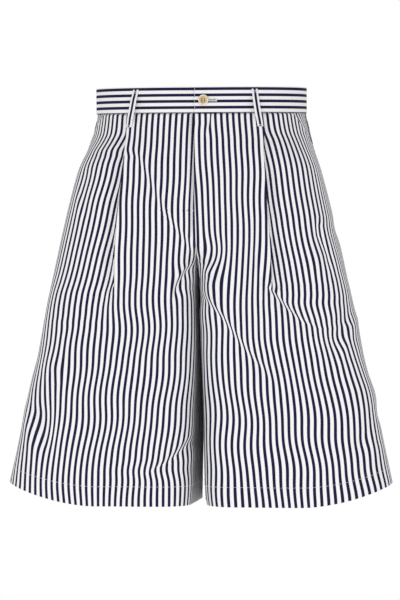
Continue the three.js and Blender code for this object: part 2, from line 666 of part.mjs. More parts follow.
// The front plane of the band at the button
const BAND_FACE_Y = -column(BODY, 'front', 0) - BAND_PROUD;

// Wearer's left half of the band, with the buttonhole cut through it
function buttonholeBand() {
  const slit = new THREE.BoxGeometry(SLIT_LONG, BAND_WALL * 4, SLIT_HIGH);
  slit.translate(SLIT_FROM + SLIT_LONG / 2, BAND_FACE_Y, BUTTON_Z);
  return geometryOf(solidOf(waistband(1)).subtract(solidOf(slit)));
}

// Four-hole button with a raised rim, on a shank that passes through the buttonhole
function button() {
  const radius = BUTTON_D / 2;
  const back = BAND_FACE_Y - SEAM_GAP;
  const profile = [
    [0, 0],
    [radius - 1.6, 0],
    [radius, 1.3],
    [radius, BUTTON_THICK - 0.8],
    [radius - 0.8, BUTTON_THICK],
    [radius - BUTTON_RIM, BUTTON_THICK],
    [radius - BUTTON_RIM - 1, BUTTON_THICK - BUTTON_DISH],
    [0, BUTTON_THICK - BUTTON_DISH],
  ].map(([r, up]) => new THREE.Vector2(r, up));
  const disc = new THREE.LatheGeometry(profile, 28);
  disc.rotateX(Math.PI);
  disc.translate(BUTTON_X, back, BUTTON_Z);
  let solid = solidOf(disc);
  for (const across of [-0.5, 0.5]) {
    for (const up of [-0.5, 0.5]) {
      const depth = BUTTON_THICK * 3;
      const hole = new THREE.CylinderGeometry(BUTTON_HOLE_D / 2, BUTTON_HOLE_D / 2, depth, 10);
      const x = BUTTON_X + across * BUTTON_HOLE_PITCH;
      hole.translate(x, back, BUTTON_Z + up * BUTTON_HOLE_PITCH);
      solid = solid.subtract(solidOf(hole));
    }
  }
  const bite = 0.8; // how far the shank is let into the button
  const reach = BAND_WALL + SEAM_GAP; // through the top end to just above the under end
  const shank = new THREE.BoxGeometry(SHANK_WIDE, reach + bite, SHANK_THICK);
  shank.translate(BUTTON_X, back + (reach - bite) / 2, BUTTON_Z);
  return geometryOf(solid.add(solidOf(shank)));
}

const COTTON = { color: 0xe9eaec, roughness: 0.86, metalness: 0 };
const COTTON_NAVY = { color: 0x262240, roughness: 0.86, metalness: 0 };
const HORN = { color: 0xd1c3a0, roughness: 0.42, metalness: 0 };

const shorts = new THREE.Group();
function place(name, geometry, finish) {
  const mesh = new THREE.Mesh(geometry, new THREE.MeshStandardMaterial(finish));
  mesh.name = name;
  shorts.add(mesh);
}

place('front_left', frontPanel(1), COTTON);
place('front_right', frontPanel(-1), COTTON);
place('back_left', backPanel(1), COTTON);
place('back_right', backPanel(-1), COTTON);
place('pocket_facing_left', pocketFacing(1), COTTON);
place('pocket_facing_right', pocketFacing(-1), COTTON);
place('waistband_left', buttonholeBand(), COTTON);
place('waistband_right', waistband(-1), COTTON);
for (const loop of LOOPS) place(loop.name, beltLoop(loop), COTTON_NAVY);
place('button', button(), HORN);

export default shorts;
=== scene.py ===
# %% [markdown]
# # Striped bermuda shorts in Blender
# The shorts hang open as if worn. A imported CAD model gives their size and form, and this
# lesson lays real cloth over it: thin shells with creases, one deep pleat in each front,
# woven stripes that follow the cut, and the stitches that hold it all together.

# %% Load the fixed frame
import math

import bpy
import numpy as np
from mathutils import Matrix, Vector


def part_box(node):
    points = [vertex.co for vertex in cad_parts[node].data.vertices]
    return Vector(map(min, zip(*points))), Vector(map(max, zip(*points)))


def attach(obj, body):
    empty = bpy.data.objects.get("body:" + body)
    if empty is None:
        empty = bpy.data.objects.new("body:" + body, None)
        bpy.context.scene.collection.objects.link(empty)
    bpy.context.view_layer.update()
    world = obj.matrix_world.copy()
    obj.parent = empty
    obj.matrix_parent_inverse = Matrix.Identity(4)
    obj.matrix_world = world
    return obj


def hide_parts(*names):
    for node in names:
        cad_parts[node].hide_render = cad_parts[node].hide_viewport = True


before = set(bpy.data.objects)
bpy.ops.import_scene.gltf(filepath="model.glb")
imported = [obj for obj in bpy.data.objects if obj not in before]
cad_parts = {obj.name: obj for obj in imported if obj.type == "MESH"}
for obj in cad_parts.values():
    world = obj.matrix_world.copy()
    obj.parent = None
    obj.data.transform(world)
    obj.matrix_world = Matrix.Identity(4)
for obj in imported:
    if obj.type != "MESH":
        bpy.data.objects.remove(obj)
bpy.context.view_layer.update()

# %% [markdown]
# ## The form of the worn shorts
# A pair of shorts is a tube round the hips that divides into two legs. It could be sculpted
# by hand, but a few named sections are easier to correct: for some heights, half the width,
# the depth to front and back, and where the cloth stands furthest out. A smooth curve runs
# through them. Lengths are in millimetres here and turn into metres when a mesh is made.
# Heights count down from the middle of the waistband.

# %% Sections of the body
MM = 0.001
WAIST_H, CROTCH_H, HEM_H, HEM_TURN = -18.8, -245, -600, 30
HALF_GAP = 0.15  # half of the gap at a seam

HEIGHTS = [20, -18.8, -43, -73, -103, -148, -208, -268, -328, -388, -448, -508, -568, -600]
BODY = {
    "half_width": [157, 157, 162, 169, 179, 191, 206, 219, 232.5, 243.5, 257, 268.7, 279.5, 285],
    "front": [112, 112, 114, 116, 118, 118, 113, 105, 99, 94, 90, 88, 86, 86],
    "back": [112, 112, 115, 120, 126, 130, 129, 121, 111, 103, 96, 91, 88, 88],
    "front_crown": [30, 30, 32, 35, 40, 49, 72, 100, 114, 123, 131, 138, 144, 147],
    "back_crown": [34, 34, 38, 46, 56, 68, 84, 104, 118, 127, 135, 141, 146, 148],
}
INNER_HEIGHTS = [20, -103, -185, -245, -270, -358, -455, -568, -600]
INNER_LEG = {
    "touch": [0.15, 0.15, 0.15, 0.15, 0.4, 0.5, 0.6, 0.8, 1.5],
    "wedge": [0, 0, 0, 0, 3.2, 4.2, 7.5, 11, 14],
    "front_wide": [18, 26, 44, 50, 51, 54, 57, 60, 62],
    "back_wide": [20, 36, 62, 70, 70, 68, 66, 65, 65],
    "deep": [30, 32, 36, 40, 41, 44, 46, 48, 48],
}


def clamp(value):
    return np.clip(value, 0.0, 1.0)


def mix(a, b, t):
    return a + (b - a) * t


def smooth(value):
    t = clamp(value)
    return t * t * (3 - 2 * t)


def curve(heights, values, h):
    """A smooth curve through the values that never swings past them."""
    last = len(heights) - 1
    h = max(heights[last], min(heights[0], h))
    k = 0
    while k < last - 1 and heights[k + 1] > h:
        k += 1

    def secant(i):
        i = min(last - 1, max(0, i))
        return (values[i + 1] - values[i]) / (heights[i + 1] - heights[i])

    def slope(i):
        before, after = secant(i - 1), secant(i)
        return 2 * before * after / (before + after) if before * after > 0 else 0.0

    step = heights[k + 1] - heights[k]
    t = (h - heights[k]) / step
    return (
        (2 * t**3 - 3 * t**2 + 1) * values[k]
        + (t**3 - 2 * t**2 + t) * step * slope(k)
        + (3 * t**2 - 2 * t**3) * values[k + 1]
        + (t**3 - t**2) * step * slope(k + 1)
    )


def body(name, h):
    return curve(HEIGHTS, BODY[name], h)


def inner_leg(name, h):
    return curve(INNER_HEIGHTS, INNER_LEG[name], h)


print("half width at waist and hem:", body("half_width", WAIST_H), body("half_width", HEM_H))

# %% [markdown]
# ## One section of a panel
# Seen from above, each of the four panels runs from the centre seam, or the inside of the
# leg, round a soft corner, over the front or back, and round to the side seam. Reading a
# section by the length along it, with the outward direction at every point, makes it easy
# to add pleats and creases later: they only change how far the cloth stands out.

# %% Section outlines
FRONT_RISE_H, BACK_RISE_H, CROTCH_Y = -212, -192, 10
INNER_SHARE, BACK_REACH, INNER_POWER, OUTER_POWER = 0.35, 0.6, 2.3, 2.15
# below the waistband the front turns flatter, with a sharper corner at the side
FRONT_POWER, FRONT_POWER_FROM_H, FRONT_POWER_OVER = 4, -48, 60


def seam_depth(h, panel):
    """Depth of the centre seam, which turns under the body from the rise to the crotch."""
    depth = body(panel, h) * (-1 if panel == "front" else 1)
    start = FRONT_RISE_H if panel == "front" else BACK_RISE_H
    t = float(clamp((start - h) / (start - CROTCH_H)))
    return mix(depth, CROTCH_Y, 1 - math.sqrt(1 - t * t))

# %% Reading a section by its length
class Outline:
    """The section of a front or back at height h, read by the length along it."""

    def __init__(self, h, panel):
        front = panel == "front"
        depth = body(panel, h) * (-1 if front else 1)
        crown = body(panel + "_crown", h)
        corner_wide = inner_leg(panel + "_wide", h)
        deep = inner_leg("deep", h)
        seam = seam_depth(h, panel)
        corner_deep = deep * (1 - math.exp(-abs(depth - seam) / deep))
        corner = depth - math.copysign(corner_deep, depth)

        def inner(y):
            out = clamp((y - seam) / ((depth - seam) or 1))
            if front:
                share = mix(INNER_SHARE, 1, out)
            else:
                share = INNER_SHARE * np.maximum(0, 1 - out / BACK_REACH)
            return inner_leg("touch", h) + inner_leg("wedge", h) * share

        face_y = mix(seam, corner, np.arange(12) / 12)
        turn = np.linspace(0, math.pi / 2, 33)
        corner_y = mix(corner, depth, np.sin(turn) ** (2 / INNER_POWER))
        rounding = np.cos(turn).clip(0) ** (2 / INNER_POWER)
        corner_x = corner_wide - (corner_wide - inner(corner_y)) * rounding
        sweep = np.linspace(0, math.pi / 2, 121)
        flatter = float(smooth((FRONT_POWER_FROM_H - h) / FRONT_POWER_OVER)) if front else 0
        power = mix(OUTER_POWER, FRONT_POWER, flatter)
        outer_x = mix(crown, body("half_width", h), np.sin(sweep) ** (2 / power))
        outer_y = depth * np.cos(sweep).clip(0) ** (2 / power)
        x = np.concatenate([inner(face_y), corner_x, outer_x])
        y = np.concatenate([face_y, corner_y, outer_y])
        s = np.concatenate([[0], np.cumsum(np.hypot(np.diff(x), np.diff(y)))])
        keep = np.concatenate([[True], np.diff(s) > 1e-6])
        self.total = s[-1]
        self.x, self.y, self.s = x[keep], y[keep], s[keep]
        self.turn_sign = 1 if front else -1
        tx, ty = np.gradient(self.x, self.s), np.gradient(self.y, self.s)
        run = np.hypot(tx, ty) * self.turn_sign
        self.nx, self.ny = ty / run, -tx / run

    def at(self, s):
        """Place and outward direction at lengths s, carried straight on past the ends."""
        s = np.asarray(s, float)
        inside = np.clip(s, 0, self.total)
        x, y = np.interp(inside, self.s, self.x), np.interp(inside, self.s, self.y)
        nx, ny = np.interp(inside, self.s, self.nx), np.interp(inside, self.s, self.ny)
        run = np.hypot(nx, ny)
        nx, ny = nx / run, ny / run
        past = s - inside
        return x - ny * self.turn_sign * past, y + nx * self.turn_sign * past, nx, ny

    def length_at(self, x):
        """Length at which the front or back of the section is at distance x from the centre."""
        start = int(np.argmax(self.s > 0.6 * self.s[np.argmin(np.abs(self.x - 20))]))
        return float(np.interp(x, self.x[start:], self.s[start:]))

# %% Tilt of the waist and rise of the hem
WAIST_TILT, TILT_END_H = 9 / 112, -160
HEM_RISE, HEM_RISE_FROM, HEM_RISE_OVER, HEM_RISE_TOP_H = 31, 150, 130, -300


def real_height(h, x, y):
    """The waist tilts up to the back and ripples, and the hem rises towards the side."""
    tilt = WAIST_TILT * y * smooth((h - TILT_END_H) / (WAIST_H - TILT_END_H))
    down = clamp((HEM_RISE_TOP_H - h) / (HEM_RISE_TOP_H - HEM_H))
    outward = np.maximum(0, (np.abs(x) - HEM_RISE_FROM) / HEM_RISE_OVER)
    rise = HEM_RISE * outward**1.8 * down**1.2
    ripple = 1.9 * smooth((-x - 40) / 50) - 0.7 * np.exp(-(((x + 18) / 10) ** 2))
    ripple = ripple * smooth(-y / 50) * smooth((h + 60) / 40)
    return h + tilt + rise + ripple


print("front panel, seam to side, at waist:", round(Outline(WAIST_H, "front").total), "mm")

# %% [markdown]
# ## The pleats
# Each front has one deep pleat that folds towards the side. The cloth lies in three layers:
# over, back under, and out again. Below the hip the fold opens, and its cloth goes into the
# width of the leg. A cloth simulation would have to be coaxed into this, so the fold is drawn
# as a path across the section, whose depth and spacing change with the height.

# %% Pleat sections
PLEAT_HEIGHTS = [20, -18.8, -45, -90, -150, -210, -245, -270, -290, -315, -345, -400, -600]
PLEAT = {
    "edge_left": [96, 96, 98, 99, 103, 107, 109, 110, 109, 109, 110, 113, 122],
    "edge_right": [100, 100, 101, 104, 110, 116, 118, 119, 119, 119, 119, 121, 128],
    "depth": [27, 27, 27, 26, 21, 13, 8, 4, 0, 0, 0, 0, 0],
    "layer": [1.5, 1.5, 1.9, 2.6, 3.0, 3.0, 2.9, 2.6, 1.8, 0.7, 0, 0, 0],
    "crest": [0.6, 0.6, 1.9, 2.6, 3.0, 3.0, 2.8, 2.4, 1.6, 0.6, 0, 0, 0],
    "open": [0, 0, 0, 0, 0, 1, 2, 8, 22, 36, 40, 44, 50],
    "ridge": [0, 0, 0, 0, 0, 0, 0.5, 1.5, 3, 3.5, 3, 2.5, 0],
}
PLEAT_RAMP = 28


def pleat_path(h, edge):
    """Lengths and heights over the fold, round its edge, back under it and out again."""
    depth, layer, crest, opened, ridge = (
        curve(PLEAT_HEIGHTS, PLEAT[name], h)
        for name in ("depth", "layer", "crest", "open", "ridge")
    )
    radius = layer * 0.43
    half_turn = np.linspace(0, math.pi, 9)
    s = [np.linspace(edge - depth, edge - radius, 16)[:-1]]
    n = [np.full(15, crest)]
    s.append(edge - radius + radius * np.sin(half_turn))
    n.append(crest - radius + radius * np.cos(half_turn))
    s.append(np.array([edge - depth * 0.35, edge - depth * 0.5, edge - depth * 0.65]))
    n.append(np.full(3, crest - layer))
    s.append(edge - depth + radius - radius * np.sin(half_turn))
    n.append(crest - 2 * layer + radius + radius * np.cos(half_turn))
    s.append(np.linspace(edge - depth + radius, edge + radius, 9)[1:])
    n.append(np.full(8, crest - 2 * layer))
    s, n = np.concatenate(s), np.concatenate(n)
    along = np.linspace(0, 1, len(s))
    return s + opened * (along - 0.5), n + ridge * np.sin(math.pi * along), len(s)


def crest_at(h):
    """How far the pleat stands out of the front."""
    return curve(PLEAT_HEIGHTS, PLEAT["crest"], h)


FOLD_TOP = 19  # columns of the fold up to the tip of its edge

# %% [markdown]
# ## Creases
# Worn poplin creases sharply where it was folded or sat on, and waves softly elsewhere. Each
# crease here is a short line drawn over a panel, with a depth, a width and the cloth that it
# takes in, which makes the stripes jog as they cross it. Sculpting would give the folds, but
# not that jog. The hidden sides get creases of the same kinds.

# %% Creases of the four panels
# Line of points (distance from the centre, height), depth (negative is a trough), width and
# cloth taken in. A crease that runs out at a seam keeps its cloth "above" or "below" its end,
# over the height in the last number. An "inner" one takes it from the side of the centre.
CREASES = {
    ("front", -1): [
        ([(84, -80), (63, -127), (47, -166), (29, -191), (12, -214), (-3, -238)],
         -1.1, 13, 3.4, "below"),
        ([(1, -243), (14, -256), (26, -274), (36, -300)], -4.0, 6, 5.0, "inner"),
        ([(3, -496), (20, -515), (46, -535), (80, -553)], -3.6, 8, 4.0, "inner"),
        ([(219, -398), (211, -422)], -3.5, 8, 0),
        ([(240, -452), (240, -492), (231, -535)], -4.0, 14, 0),
        ([(150, -300), (170, -330), (205, -350)], -1.6, 12, 0),
        ([(62, -300), (100, -292), (150, -300)], -1.2, 9, 0),
        ([(40, -432), (90, -424), (150, -436)], -1.3, 12, 0),
        ([(160, -96), (166, -140), (160, -190)], -1.6, 10, 0),
    ],
    ("front", 1): [
        ([(2, -285), (38, -322), (60, -353), (77, -376), (94, -393), (122, -430)],
         -2.2, 10, 7.0, "above", 130),
        ([(105, -280), (130, -307), (152, -327), (176, -338), (205, -338)], -2.6, 9, 7.0),
        ([(83, -170), (81, -232), (87, -264), (98, -300)], -2.0, 9, 0),
        ([(173, -186), (177, -205), (190, -232), (196, -262)], -3.0, 9, 4.0),
        ([(224, -306), (214, -337), (203, -365), (190, -402)], -4.0, 12, 0),
        ([(247, -494), (242, -515), (242, -538)], -3.5, 12, 0),
        ([(2, -252), (16, -244), (38, -226)], -2.6, 6, 0),
        ([(4, -266), (24, -264), (44, -250)], -2.4, 6, 0),
        ([(25, -14), (20, -33), (13, -54)], -1.8, 5, 3.2),
        ([(50, -460), (100, -470), (150, -458)], -1.2, 14, 0),
    ],
    ("back", -1): [
        ([(18, -262), (60, -282), (130, -300)], -4.0, 12, 4.0),
        ([(60, -330), (105, -362), (150, -390)], -3.2, 12, 0),
        ([(215, -330), (200, -380), (180, -430)], -3.6, 14, 0),
        ([(30, -60), (70, -110), (90, -150)], -1.6, 10, 0),
        ([(40, -470), (90, -490), (150, -480)], -1.6, 14, 0),
    ],
    ("back", 1): [
        ([(18, -262), (70, -288), (140, -312)], -4.0, 12, 4.0),
        ([(50, -350), (90, -396), (130, -440)], -3.2, 12, 0),
        ([(205, -300), (200, -360), (190, -420)], -3.6, 14, 0),
        ([(24, -200), (50, -232), (90, -250)], -2.0, 9, 0),
        ([(150, -90), (160, -150), (150, -200)], -1.6, 12, 0),
    ],
}
# waves of the outline at the side seams: height, swell, reach up and down
SIDE_WAVES = {
    1: [(-192, -2.5, 16), (-445, 2.5, 22), (-480, -2, 15)],
    -1: [(-330, -2, 24), (-415, 2, 20)],
}
END_FADE, SEAM_FADE = 22, 14

# %% How creases and waves lift the cloth
def crease_depth(line, depth, width, x, h):
    """Depth of one crease at distances x and height h: steep above its line, gentle below."""
    points = np.array(line, float)
    legs = np.hypot(*np.diff(points, axis=0).T)
    whole, done = legs.sum(), 0.0
    best = np.full(x.shape, 1e9)
    along = np.zeros(x.shape)
    for (x1, h1), (x2, h2), leg in zip(points[:-1], points[1:], legs):
        t = clamp(((x - x1) * (x2 - x1) + (h - h1) * (h2 - h1)) / leg**2)
        away = np.hypot(x - x1 - (x2 - x1) * t, h - h1 - (h2 - h1) * t)
        nearer = away < best
        side = (x2 - x1) * (h - h1) - (h2 - h1) * (x - x1)
        best = np.where(nearer, away, best)
        sharp = np.where(side > 0, 0.6, 1.25)
        scaled = away / (width * sharp)
        if done == 0:
            result = scaled
        else:
            result = np.where(nearer, scaled, result)
        along = np.where(nearer, done + t * leg, along)
        done += leg
    fade = smooth(along / END_FADE) * smooth((whole - along) / END_FADE)
    profile = np.exp(-result**2) - 0.35 * np.exp(-((result - 1.7) ** 2))
    return depth * profile * mix(0.15, 1, fade)


def waves(x, h, phase):
    """Shallow waves all over, which keep a plain panel from looking like sheet metal."""
    return (
        0.45 * np.sin(x / 15 + h / 41 + phase)
        + 0.4 * np.sin(x / 27 - h / 33 + 2.3 * phase)
        + 0.25 * np.sin(x / 9.5 + h / 70 + 4.1 * phase)
    )


def cloth_height(panel, side, x, h, to_centre, to_side):
    """How far creases and waves move the cloth out at a row of points."""
    rise = waves(x, h, side * 1.3 + (panel == "back"))
    for line, depth, width, *_ in CREASES[panel, side]:
        rise = rise + crease_depth(line, depth, width, x, h)
    rise = rise * smooth(to_centre / SEAM_FADE) * smooth(to_side / SEAM_FADE)
    return rise + side_swell(side, h, to_side)


def side_swell(side, h, to_side):
    """Waves of the outline, which fade within a hand's width of the side seam."""
    swell = 0.0
    for middle, rise, height in SIDE_WAVES[side]:
        swell = swell + rise * np.exp(-(((h - middle) / height) ** 2) - (to_side / 45) ** 2)
    return swell

# %% Cloth hidden in a crease
def taken_in(panel, side, x, h):
    """Cloth hidden in the creases that a row has crossed by distance x."""
    hidden = np.zeros(x.shape)
    for line, _, width, tuck, *lasting in CREASES[panel, side]:
        if tuck:
            points = np.array(line, float)
            place = float(np.interp(-h, -points[:, 1], points[:, 0]))
            low, high = points[-1, 1], points[0, 1]
            start = 1 if "above" in lasting else float(smooth((high + 8 - h) / 16))
            let_out = lasting[1] if len(lasting) > 1 else 50
            end = 1 if "below" in lasting else float(smooth((h - low + 10) / let_out))
            if ("above" in lasting and h > high) or ("below" in lasting and h < low):
                place = -99
            crossed = smooth((x - place) / width + 0.5) - ("inner" in lasting)
            hidden = hidden + tuck * start * end * crossed
    return hidden

# %% Drift of the grain
# Places where the cloth of a front is pulled aside: distance, height, reach across and up,
# and how many stripes it moves
PULLS = {
    1: [
        (24, -226, 20, 20, -0.9), (13, -266, 26, 24, 1.0), (13, -310, 26, 40, 0.45),
        (40, -205, 22, 40, 0.2), (88, -235, 10, 45, 0.25), (205, -350, 26, 22, 0.5),
        (28, -440, 30, 34, -0.3), (186, -232, 22, 28, -0.8),
    ],
    -1: [
        (22, -165, 32, 50, 0.5), (20, -262, 14, 16, 0.5), (70, -548, 50, 12, -0.3),
        (215, -400, 18, 22, -0.5), (222, -492, 16, 34, 0.7),
    ],
}


def shear(x, h, phase):
    """Soft sideways drift of the grain, in stripes, as cloth shears when it hangs."""
    drift = 0.11 * np.sin(h / 13 + x / 50 + 2.1 * phase) * np.sin(x / 37 - h / 90 + phase)
    drift = drift + 0.13 * np.sin(h / 23 - x / 70 + 3.7 * phase) * np.sin(x / 58 + h / 140 + phase)
    for place, height, wide, high, amount in PULLS.get(phase, ()):
        nearness = np.exp(-(((x - place) / wide) ** 2) - ((h - height) / high) ** 2)
        drift = drift + amount * nearness
    looser = mix(0.6, 1.3, smooth((-200 - h) / 150))  # the legs shear more than the hips
    return drift * smooth(-(h + 30) / 60) * smooth(x / 18) * looser


print("creases drawn:", sum(len(lines) for lines in CREASES.values()))

# %% [markdown]
# ## From rows of points to a cloth shell
# Each row of a panel is a path over its section. A shell gets an outer face, an inner face
# and rims, a bit more than half a millimetre apart. A Solidify modifier would do this too,
# but the inner turns of the pleat are so tight that it would cross itself, so the two faces
# are set out from the middle of the cloth row by row. The texture coordinates count stripes
# across and along the real cloth, so that the stripes bend with every fold.

# %% Shell builder
CLOTH = 0.6
STRIPE = 8.9  # one navy and one white stripe together


def place_object(name, data):
    """Puts a mesh, lamp or camera in the scene."""
    item = bpy.data.objects.new(name, data)
    bpy.context.scene.collection.objects.link(item)
    return item


def wall_row(outline, s, n, h, side, wall):
    """Outer and inner points of one row, in metres."""
    x, y, nx, ny = outline.at(s)
    mx, my = x + nx * (n - wall / 2), y + ny * (n - wall / 2)
    tx, ty = np.gradient(mx), np.gradient(my)
    run = np.hypot(tx, ty)
    run[run < 1e-9] = 1e-9
    ox, oy = ty / run * outline.turn_sign, -tx / run * outline.turn_sign
    z = real_height(h, mx, my)
    outer = np.stack([(mx + ox * wall / 2) * side, my + oy * wall / 2, z], 1) * MM
    inner = np.stack([(mx - ox * wall / 2) * side, my - oy * wall / 2, z], 1) * MM
    return outer, inner


def row_lengths(outline, s, n):
    """Cloth length from the start of a row to each of its points."""
    x, y, nx, ny = outline.at(s)
    px, py = x + nx * n, y + ny * n
    return np.concatenate([[0], np.cumsum(np.hypot(np.diff(px), np.diff(py)))])


# %% A closed shell
def shell(name, outer, inner, across, along):
    """Closed shell through grids of outer and inner points, with stripe coordinates."""
    rows, columns = outer.shape[:2]
    count = rows * columns
    points = np.concatenate([outer.reshape(-1, 3), inner.reshape(-1, 3)])
    i, j = np.meshgrid(np.arange(rows - 1), np.arange(columns - 1), indexing="ij")
    a = (i * columns + j).ravel()
    front = np.stack([a, a + 1, a + columns + 1, a + columns], 1)
    behind = front[:, ::-1] + count
    rim = []
    for line in (
        np.arange(columns)[::-1],
        np.arange(columns) + (rows - 1) * columns,
        np.arange(rows) * columns,
        (np.arange(rows) * columns + columns - 1)[::-1],
    ):
        rim.append(np.stack([line[:-1], line[1:], line[1:] + count, line[:-1] + count], 1))
    faces = np.concatenate([front, behind] + rim)
    corners = points[faces]
    volume = (corners[:, 0] * np.cross(corners[:, 1], corners[:, 2])).sum()
    volume += (corners[:, 0] * np.cross(corners[:, 2], corners[:, 3])).sum()
    if volume < 0:
        faces = faces[:, ::-1]
    mesh = bpy.data.meshes.new(name)
    mesh.from_pydata(points.tolist(), [], faces.tolist())
    uv = np.stack([across.ravel(), along.ravel()], 1)
    uv = np.concatenate([uv, uv])[faces.ravel()]
    mesh.uv_layers.new(name="UVMap").data.foreach_set("uv", uv.astype(np.float32).ravel())
    mesh.polygons.foreach_set("use_smooth", [True] * len(faces))
    mesh.set_sharp_from_angle(angle=math.radians(52))
    return place_object(name, mesh)

# %% Finish of a piece
def finish_piece(piece, material, node=None):
    """Gives a piece its material, body and slot, and hides the solid that it stands for."""
    piece.data.materials.append(material)
    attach(piece, "root")
    if node:
        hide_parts(node)


# %% [markdown]
# ## Yarn-dyed striped poplin
# The stripes are woven in, so they are the same on both sides and have slightly ragged edges
# where navy and white yarns meet. An image texture would blur close up. Here the stripe
# count that each shell carries is folded into one stripe, and a narrow ramp picks navy or
# white. A fine crossed wave gives the weave, and faint noise the slub of cotton yarn.

# %% Cloth material
NAVY = (0.0125, 0.0100, 0.040, 1)
WHITE = (0.72, 0.72, 0.725, 1)
BRIGHT_WHITE = (0.77, 0.77, 0.78, 1)  # down the middle of a white stripe
NAVY_SHARE = 0.465
WARP_YARNS, WEFT_YARNS = 22, 17  # in one stripe repeat

# %% Helpers for material nodes
def add(tree, kind, **settings):
    """A node with some of its settings made."""
    node = tree.nodes.new(kind)
    for name, value in settings.items():
        setattr(node, name, value)
    return node


def link_math(tree, operation, *values):
    node = add(tree, "ShaderNodeMath", operation=operation)
    for socket, value in zip(node.inputs, values):
        if isinstance(value, (int, float)):
            socket.default_value = value
        else:
            tree.links.new(value, socket)
    return node.outputs[0]


def new_material(name):
    material = bpy.data.materials.new(name)
    material.use_nodes = True
    return material, material.node_tree, material.node_tree.nodes["Principled BSDF"]


def map_range(tree, value, low, high):
    """0 where the value is low, 1 where it is high."""
    node = add(tree, "ShaderNodeMapRange")
    node.inputs["From Min"].default_value = low
    node.inputs["From Max"].default_value = high
    tree.links.new(value, node.inputs["Value"])
    return node.outputs[0]


def mix_colours(tree, factor, a, b, **settings):
    """Colour a turning into colour b. Each input is a fixed value or a node's output."""
    node = add(tree, "ShaderNodeMix", data_type="RGBA", **settings)
    for name, value in (("Factor", factor), ("A", a), ("B", b)):
        if isinstance(value, (float, tuple)):
            node.inputs[name].default_value = value
        else:
            tree.links.new(value, node.inputs[name])
    return node.outputs["Result"]

# %% Striped cotton
def striped_cotton(name, turned=False):
    """Striped cloth. On a turned piece the stripes run the other way."""
    material, tree, shader = new_material(name)
    uv = add(tree, "ShaderNodeUVMap", uv_map="UVMap")
    parts = add(tree, "ShaderNodeSeparateXYZ")
    tree.links.new(uv.outputs[0], parts.inputs[0])
    across, along = parts.outputs[1 if turned else 0], parts.outputs[0 if turned else 1]

    slub = add(tree, "ShaderNodeTexNoise")
    slub.inputs["Scale"].default_value = 9.0
    slub.inputs["Detail"].default_value = 3.0
    tree.links.new(uv.outputs[0], slub.inputs["Vector"])
    ragged = link_math(tree, "MULTIPLY_ADD", slub.outputs["Fac"], 0.03, -0.015)
    moved = link_math(tree, "ADD", across, ragged)
    folded = link_math(tree, "PINGPONG", moved, 0.5)  # 0 in the middle of navy, 0.5 of white

    edge = map_range(tree, folded, NAVY_SHARE / 2 - 0.012, NAVY_SHARE / 2 + 0.012)
    middle = map_range(tree, folded, 0.455, 0.485)
    white = mix_colours(tree, middle, WHITE, BRIGHT_WHITE)
    cloth = mix_colours(tree, edge, NAVY, white)
    tree.links.new(cloth, shader.inputs["Base Color"])

    warp = link_math(tree, "SINE", link_math(tree, "MULTIPLY", across, math.tau * WARP_YARNS))
    weft = link_math(tree, "SINE", link_math(tree, "MULTIPLY", along, math.tau * WEFT_YARNS))
    weave = link_math(tree, "MULTIPLY", warp, weft)
    yarn = link_math(tree, "ADD", weave, link_math(tree, "MULTIPLY", slub.outputs["Fac"], 1.5))
    bump = add(tree, "ShaderNodeBump")
    bump.inputs["Strength"].default_value = 0.25
    bump.inputs["Distance"].default_value = 0.00012
    tree.links.new(yarn, bump.inputs["Height"])
    tree.links.new(bump.outputs[0], shader.inputs["Normal"])
    shader.inputs["Roughness"].default_value = 0.88
    shader.inputs["Specular IOR Level"].default_value = 0.08
    return material


poplin = striped_cotton("striped_poplin")
band_poplin = striped_cotton("striped_poplin_turned", turned=True)
print("stripe repeat", STRIPE, "mm, navy part", round(STRIPE * NAVY_SHARE, 1), "mm")

# %% [markdown]
# ## The fronts
# A front runs from the fly over the pleat to the side seam. Its upper outer corner is scooped
# away for the pocket. The stripes run with the grain: they start parallel to the fly, lean
# outward down the leg, and come out from under the pleat as it opens. One stripe of each
# front is the guide, whose distance from the centre is given by height, and every other
# stripe is counted from it along the cloth.

# %% Front panels
FLY_OVER, FLY_UNDER, FLY_END_H, FLY_STRAIGHT_H = 2, 14, -170, -100
POCKET_WIDE, POCKET_FOOT, POCKET_DEEP, POCKET_POWER = 64, 2.5, 52, 1.3
GUIDE_HEIGHTS = [-19, -45, -96, -153, -211, -269, -327, -385, -442, -500, -551, -600]
GUIDE = {
    -1: [53.3, 54.6, 56.9, 59.8, 61.9, 63.9, 64.8, 68.3, 74.8, 80.8, 86.8, 88.6],
    1: [64.4, 63.9, 65.3, 67.7, 68.6, 64.7, 62.9, 64.2, 66.9, 70.8, 74.2, 75.4],
}
REPEAT = {
    -1: [8.6] * 12,
    1: [8.6, 8.65, 8.6, 8.4, 8.3, 8.5, 8.5, 8.75, 9.3, 9.3, 9.6, 9.7],
}
# cloth folded back under the pleat, by height
TAKE_UP_HEIGHTS = [-19, -45, -60, -90, -130, -272, -288, -330]
TAKE_UP = {
    -1: [30, 29, 27, 22.5, 18.8, 4.5, 2.9, 0],
    1: [25.5, 24, 22, 19.5, 16.5, 4, 0, 0],
}
INNER_COLUMNS, OUTER_COLUMNS, WAIST_GROOVE = 104, 66, 3.0

# %% One row of a front
def pocket_width(h):
    """How far the scooped pocket edge stands back from the side seam."""
    down = (WAIST_H - h) / POCKET_DEEP
    if down > 1:
        return HALF_GAP
    return mix(POCKET_FOOT, POCKET_WIDE, max(0, 1 - down) ** (1 / POCKET_POWER))


